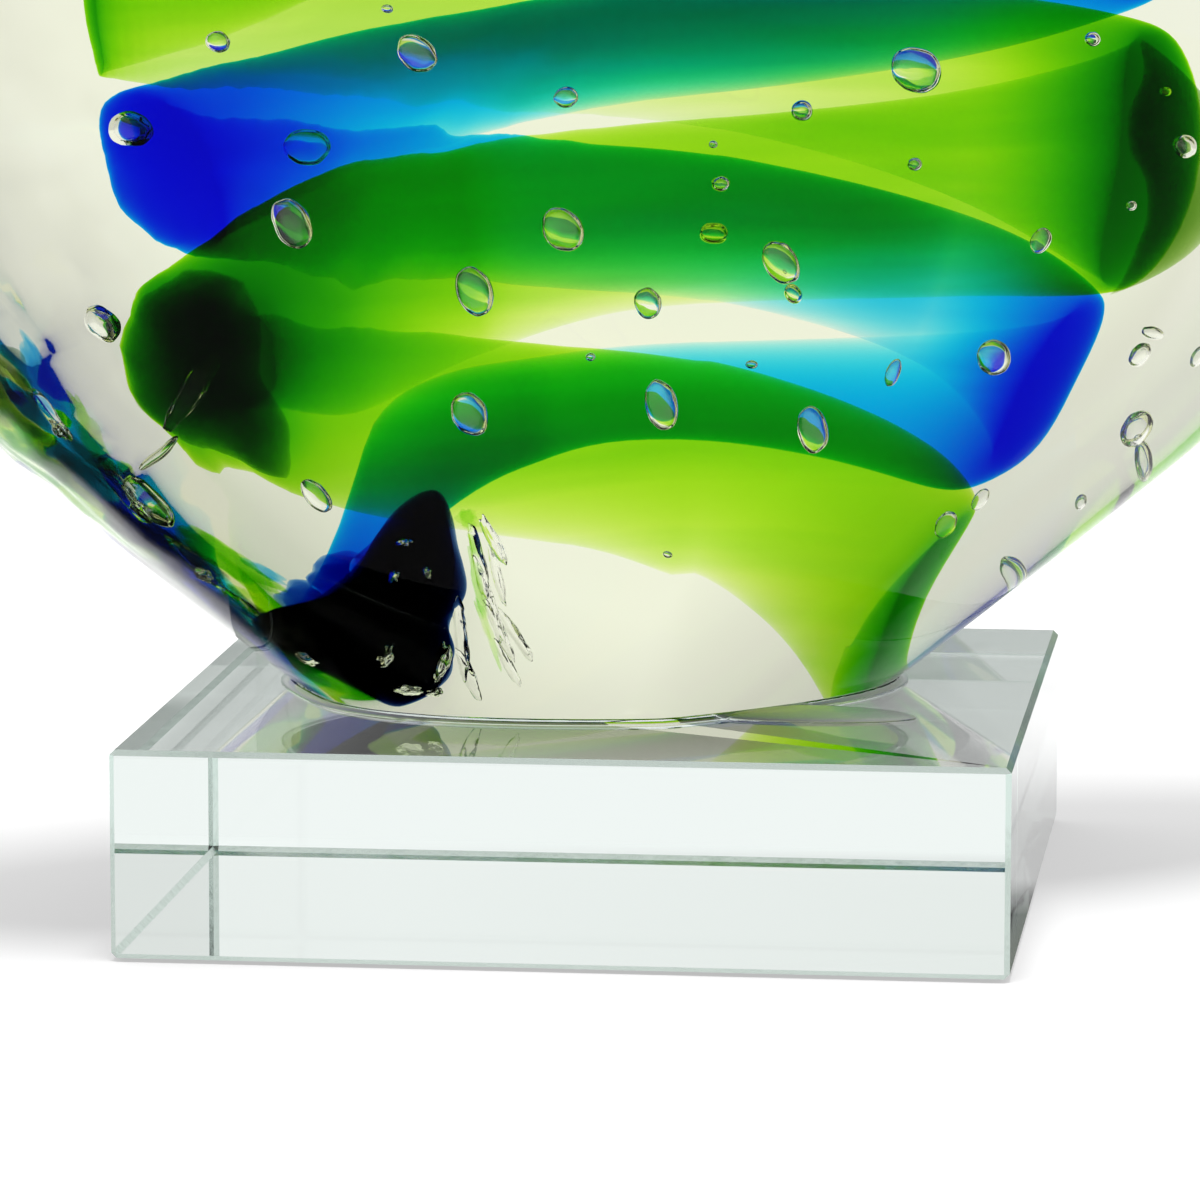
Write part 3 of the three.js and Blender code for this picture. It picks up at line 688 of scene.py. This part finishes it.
bm = wrapped(heart_point, *HEART_STEPS)
groove = [vert for vert in bm.verts if abs(vert.co.x) < GROOVE_HALF_WIDTH and vert.co.z > GROOVE_FROM]
for _ in range(GROOVE_PASSES):
    bmesh.ops.smooth_vert(bm, verts=groove, factor=0.5, use_axis_x=True, use_axis_y=True, use_axis_z=True)
bm.transform(LEAN)
rim, cap = cut_flat(bm, 0)
for edge in rim:
    edge.smooth = False
seat = [(SEAT_PLACE @ vert.co).xy for vert in cap.verts]
seat_middle = sum(seat, Vector((0, 0))) / len(seat)
finished(bm, "heart_clear_glass", (clear_glass, clear_bond), place=SEAT_PLACE,
         replaced=("clear_casing", "clear_column"), slot="clear_glass")

# What is wound and caught inside the heart

for name, stations, taper, material, replaced, slot in (
    ("blue_ribbon_glass", BLUE_STATIONS, BLUE_TAPER, blue_glass, "blue_ribbon", "blue_glass"),
    ("green_ribbon_glass", GREEN_STATIONS, GREEN_TAPER, green_glass, "green_ribbon", "green_glass"),
):
    steps = round((stations[-1][0] - stations[0][0]) * RIBBON_STEPS[0])
    finished(wrapped(ribbon_surface(stations, taper), steps, RIBBON_STEPS[1]), name, (material,),
             place=HEART_PLACE, replaced=(replaced,), slot=slot)

finished(wrapped(tail_point, *TAIL_STEPS), "ribbon_tail_glass", (dark_glass,), place=HEART_PLACE,
         replaced=("ribbon_tail",), slot="dark_glass")

for name, rows, depth in (
    ("right_fold_glass", RIGHT_FOLD, RIGHT_FOLD_DEPTH),
    ("left_fold_glass", LEFT_FOLD, LEFT_FOLD_DEPTH),
):
    finished(wrapped(fold_surface(rows, depth), *FOLD_STEPS), name, (fold_glass,), place=HEART_PLACE,
             replaced=("green_ribbon",), slot="green_glass")


def stretched_balls(table, fine_from, wrinkle):
    """Balls stretched along their tilt and wrinkled a little, in one bmesh."""
    bm = bmesh.new()
    for x, y, z, long, wide, tilt, *deep in table:
        place = Matrix.Translation((x, y, z)) @ Matrix.Rotation(math.radians(tilt), 4, "Y")
        flat = long > FLAT_BALL_FROM and abs(x) < FLAT_BALL_WITHIN
        depth = deep[0] if deep else wide * (FLAT_BALL_DEPTH if flat else BALL_DEPTH)
        size = Matrix.Diagonal((long * BALL_FILL, depth, wide * BALL_FILL, 1))
        subdivisions = 4 if long > fine_from else 3
        for vert in bmesh.ops.create_icosphere(bm, subdivisions=subdivisions, radius=1)["verts"]:
            rough = noise.noise(vert.co * WRINKLE_GRAIN + Vector((x, y, z)))
            vert.co = place @ size @ (vert.co * (1 + wrinkle * rough))
    return bm


slivers = [row + (AIR_SLIVER_DEPTH,) for row in AIR_SLIVERS]
finished(stretched_balls(BUBBLES, FINE_BUBBLE_FROM, 0.06), "seed_bubbles", (air,), place=HEART_PLACE)
finished(stretched_balls(slivers, FINE_SHRED_FROM, 0.5), "air_slivers", (air,), place=HEART_PLACE)
for name, table, wrinkle, material, replaced, slot in (
    ("clear_wisps", WISPS, 0.25, wisp_glass, "clear_casing", "clear_glass"),
    # Dark glass as painted shade along the lower left rim
    ("painted_shade_shreds", PAINTED_SHADE_SHREDS, 0.6, painted_shade_glass, "ribbon_tail", "dark_glass"),
    ("dark_blue_shreds", DARK_BLUE_SHREDS, 0.4, shred_dark_blue, "ribbon_tail", "dark_glass"),
    ("green_shreds", GREEN_SHREDS, 0.6, shred_green, "green_ribbon", "green_glass"),
    ("blue_shreds", BLUE_SHREDS, 0.6, shred_blue, "blue_ribbon", "blue_glass"),
):
    finished(stretched_balls(table, FINE_SHRED_FROM, wrinkle), name, (material,), place=HEART_PLACE,
             replaced=(replaced,), slot=slot)


# Adhesive under the seat

def adhesive_film():
    """A closed film over the seat, whose edge bulges out from the ground seat."""
    bm = bmesh.new()
    ring = bmesh.ops.create_circle(bm, cap_ends=True, radius=1, segments=len(seat))["verts"]
    for vert, point in zip(ring, seat):
        inward = (seat_middle - point).normalized()
        vert.co = Vector((*(point + inward * CONTACT * 2), SEAT_Z - ADHESIVE_EDGE[0][1]))
    top = bm.faces[:]
    edges = bm.edges[:]
    for out, down in ADHESIVE_EDGE[1:]:
        grown = bmesh.ops.extrude_edge_only(bm, edges=edges)["geom"]
        edges = [part for part in grown if isinstance(part, bmesh.types.BMEdge)]
        for vert in (part for part in grown if isinstance(part, bmesh.types.BMVert)):
            flat = vert.co.xy
            away = (flat - seat_middle).normalized()
            nearest = min(seat, key=lambda point: (point - flat).length)
            vert.co = Vector((*(nearest + away * out), SEAT_Z - down))
    bottom = bmesh.ops.contextual_create(bm, geom=edges)["faces"]
    for face in top + bottom:
        face.material_index = 1
    bmesh.ops.recalc_face_normals(bm, faces=bm.faces)
    return bm


def adhesive_bead():
    """The adhesive that was squeezed out in front and lies on the block as a low bead."""
    bearing = Vector((math.cos(math.radians(TONGUE_BEARING)), math.sin(math.radians(TONGUE_BEARING))))
    root = max(seat, key=lambda point: (point - seat_middle).normalized().dot(bearing))
    root = root + (root - seat_middle).normalized() * TONGUE_BEYOND
    bm = bmesh.new()
    for vert in bmesh.ops.create_icosphere(bm, subdivisions=5, radius=1)["verts"]:
        vert.co.z = power(vert.co.z, TONGUE_FULLNESS)
    size = Matrix.Diagonal((TONGUE_LENGTH / 2, TONGUE_WIDTH / 2, ADHESIVE - 2 * CONTACT, 1))
    turned = Matrix.Rotation(math.radians(TONGUE_TURN), 4, "Z")
    bm.transform(Matrix.Translation((*root, BLOCK_HEIGHT + CONTACT)) @ turned @ size)
    cut_flat(bm, BLOCK_HEIGHT + CONTACT * 2)
    return bm


for bm, name in ((adhesive_film(), "adhesive_film"), (adhesive_bead(), "adhesive_bead")):
    finished(bm, name, (adhesive_glass, adhesive_bond), replaced=("adhesive_layer",), slot="adhesive")

# The block: its top has an opening of the seat's outline, closed by a face that is bonded

bm = bmesh.new()
bmesh.ops.create_cube(bm, size=1)
size = Matrix.Diagonal((BLOCK_SIDE, BLOCK_SIDE, BLOCK_HEIGHT, 1))
bm.transform(Matrix.Translation((0, 0, BLOCK_HEIGHT / 2)) @ size)
bmesh.ops.bevel(bm, geom=bm.edges[:], offset=BLOCK_CHAMFER, offset_type="OFFSET", affect="EDGES",
                segments=1, profile=0.5, material=-1)
top = max(bm.faces, key=lambda face: face.calc_center_median().z)
outer = top.edges[:]
bmesh.ops.delete(bm, geom=[top], context="FACES_ONLY")
ring = bmesh.ops.create_circle(bm, cap_ends=True, radius=1, segments=len(seat))["verts"]
for vert, point in zip(ring, seat):
    vert.co = Vector((*point, BLOCK_HEIGHT))
patch = ring[0].link_faces[0]
patch.material_index = 1
for face in bm.faces:
    slanted = max(abs(part) for part in face.normal) < 0.99
    if slanted:
        face.material_index = 2
bmesh.ops.triangle_fill(bm, edges=outer + patch.edges[:], use_beauty=True)
bmesh.ops.recalc_face_normals(bm, faces=bm.faces)
finished(bm, "optical_glass_block", (block_glass, block_bond, block_edge), replaced=("base_block",),
         slot="block_glass", smooth=False)


# Floor, light and camera

def paper_floor():
    """Paper that the lamp lights and that glows, so that it is white and still keeps the shadow."""
    material, tree = new_material("paper_floor")
    path = add_node(tree, "LightPath", {}).outputs
    place = add_node(tree, "TexCoord", {}).outputs["Object"]
    distance = add_node(tree, "VectorMath", {0: place}, operation="LENGTH").outputs["Value"]
    glow = ranged(tree, distance, PAPER_GLOW_REACH, *PAPER_GLOW)

    # Through the glass, the paper under the block glows less, a painted shadow, and the paper beside it more,
    # painted light that hides the real shadow there
    unsigned = add_node(tree, "VectorMath", {0: place}, operation="ABSOLUTE").outputs["Vector"]
    sides = add_node(tree, "SeparateXYZ", {0: unsigned}).outputs
    from_middle = worked_out(tree, "MAXIMUM", sides["X"], sides["Y"])
    tenths = worked_out(tree, "MULTIPLY", from_middle, TENTHS_PER_METRE)
    # Painted shadow under the block and painted light beside it, only for rays that come through glass
    change = worked_out(tree, "SUBTRACT", ramp(tree, tenths, PAINTED_SHADOW_AND_LIGHT_THROUGH_GLASS), NO_CHANGE)
    glow = worked_out(tree, "MULTIPLY_ADD", path["Is Transmission Ray"], change, glow, clamp=True)

    # Where glass mirrors it, the front half is painted dark, a painted reflection of a dark card that isn't
    # there. Past the block that counts only for rays that haven't gone through glass before
    forward = add_node(tree, "SeparateXYZ", {0: place}).outputs["Y"]
    front_half = ranged(tree, forward, (PAINTED_REFLECTION_SOFT_EDGE, -PAINTED_REFLECTION_SOFT_EDGE))
    mirrored = worked_out(tree, "MINIMUM", path["Glossy Depth"], 1.0)
    past_block = worked_out(tree, "GREATER_THAN", from_middle, PAINTED_REFLECTION_NEAR)
    through_glass = worked_out(tree, "MULTIPLY", past_block, path["Transmission Depth"])
    seen = worked_out(tree, "SUBTRACT", mirrored, through_glass, clamp=True)
    painted_reflection = worked_out(tree, "MULTIPLY", seen, front_half)

    glow = worked_out(tree, "SUBTRACT", glow, painted_reflection, clamp=True)
    # The paper's colour turns dark where the painted reflection shows
    colour = add_node(tree, "MixRGB", {0: painted_reflection, 1: (*PAPER, 1), 2: (*PAINTED_REFLECTION_DARK, 1)}).outputs[0]
    lit = add_node(tree, "BsdfDiffuse", {"Color": colour}).outputs[0]
    glowing = add_node(tree, "Emission", {"Strength": 1.0}).outputs[0]
    give_surface(tree, add_node(tree, "MixShader", {0: glow, 1: lit, 2: glowing}))
    return material


def light_tent():
    """The world: white to the camera, a backdrop through glass, and else a tent with a dark front."""
    world = bpy.data.worlds.new("light_tent")
    world.use_nodes = True
    tree = world.node_tree
    tree.nodes.clear()
    path = add_node(tree, "LightPath", {}).outputs
    towards = add_node(tree, "TexCoord", {}).outputs["Generated"]
    towards = add_node(tree, "SeparateXYZ", {0: towards}).outputs

    aside = worked_out(tree, "ABSOLUTE", worked_out(tree, "ADD", towards["X"], BACKDROP_OFF_CENTRE))
    level = worked_out(tree, "MULTIPLY_ADD", aside, BACKDROP_ASIDE, towards["Z"])
    backdrop = add_node(tree, "Background", {"Color": ramp(tree, level, BACKDROP)}).outputs[0]

    shift = worked_out(tree, "MULTIPLY_ADD", path["Is Glossy Ray"], TENT_SHIFT_MIRRORED, TENT_SHIFT)
    walls = ramp(tree, worked_out(tree, "ADD", towards["Y"], shift), TENT)
    horizon = ramp(tree, towards["Z"], MIRRORED_HORIZON)
    shades = {0: path["Is Glossy Ray"], 1: walls, 2: horizon}
    shade = add_node(tree, "MixRGB", shades, blend_type="MULTIPLY").outputs[0]
    seen = add_node(tree, "Background", {"Color": shade}).outputs[0]

    white = add_node(tree, "Background", {"Color": (*WHITE, 1)}).outputs[0]
    for ray, shown in (("Is Transmission Ray", backdrop), ("Is Camera Ray", white)):
        seen = add_node(tree, "MixShader", {0: path[ray], 1: seen, 2: shown}).outputs[0]
    add_node(tree, "OutputWorld", {"Surface": seen})
    return world


def aimed(name, data, place, aim):
    """A lamp or a camera at a place, pointed at another."""
    thing = bpy.data.objects.new(name, data)
    thing.location = place
    thing.rotation_mode = "QUATERNION"
    thing.rotation_quaternion = (aim - place).to_track_quat("-Z", "Y")
    bpy.context.scene.collection.objects.link(thing)
    return thing


bm = bmesh.new()
bmesh.ops.create_grid(bm, x_segments=2, y_segments=2, size=FLOOR_HALF_SIZE)
floor = mesh_object(bm, "floor", (paper_floor(),))
floor.location.z = -FLOOR_DROP

lamp_data = bpy.data.lights.new("overhead_softbox", "AREA")
lamp_data.shape = "DISK"
lamp_data.size = LAMP_SIZE
lamp_data.energy = LAMP_POWER
lamp = aimed("overhead_softbox", lamp_data, LAMP_PLACE, LAMP_AIM)
lamp.visible_glossy = False
lamp.visible_transmission = False

camera_data = bpy.data.cameras.new("camera")
camera_data.lens = LENS
camera_data.sensor_width = SENSOR_WIDTH

scene = bpy.context.scene
scene.world = light_tent()
scene.camera = aimed("camera", camera_data, EYE, AIM)
scene.view_settings.view_transform = "Standard"
scene.cycles.max_bounces = LIGHT_BOUNCES
scene.cycles.transmission_bounces = LIGHT_BOUNCES
scene.cycles.transparent_max_bounces = LIGHT_BOUNCES
scene.cycles.caustics_reflective = False
scene.cycles.caustics_refractive = False
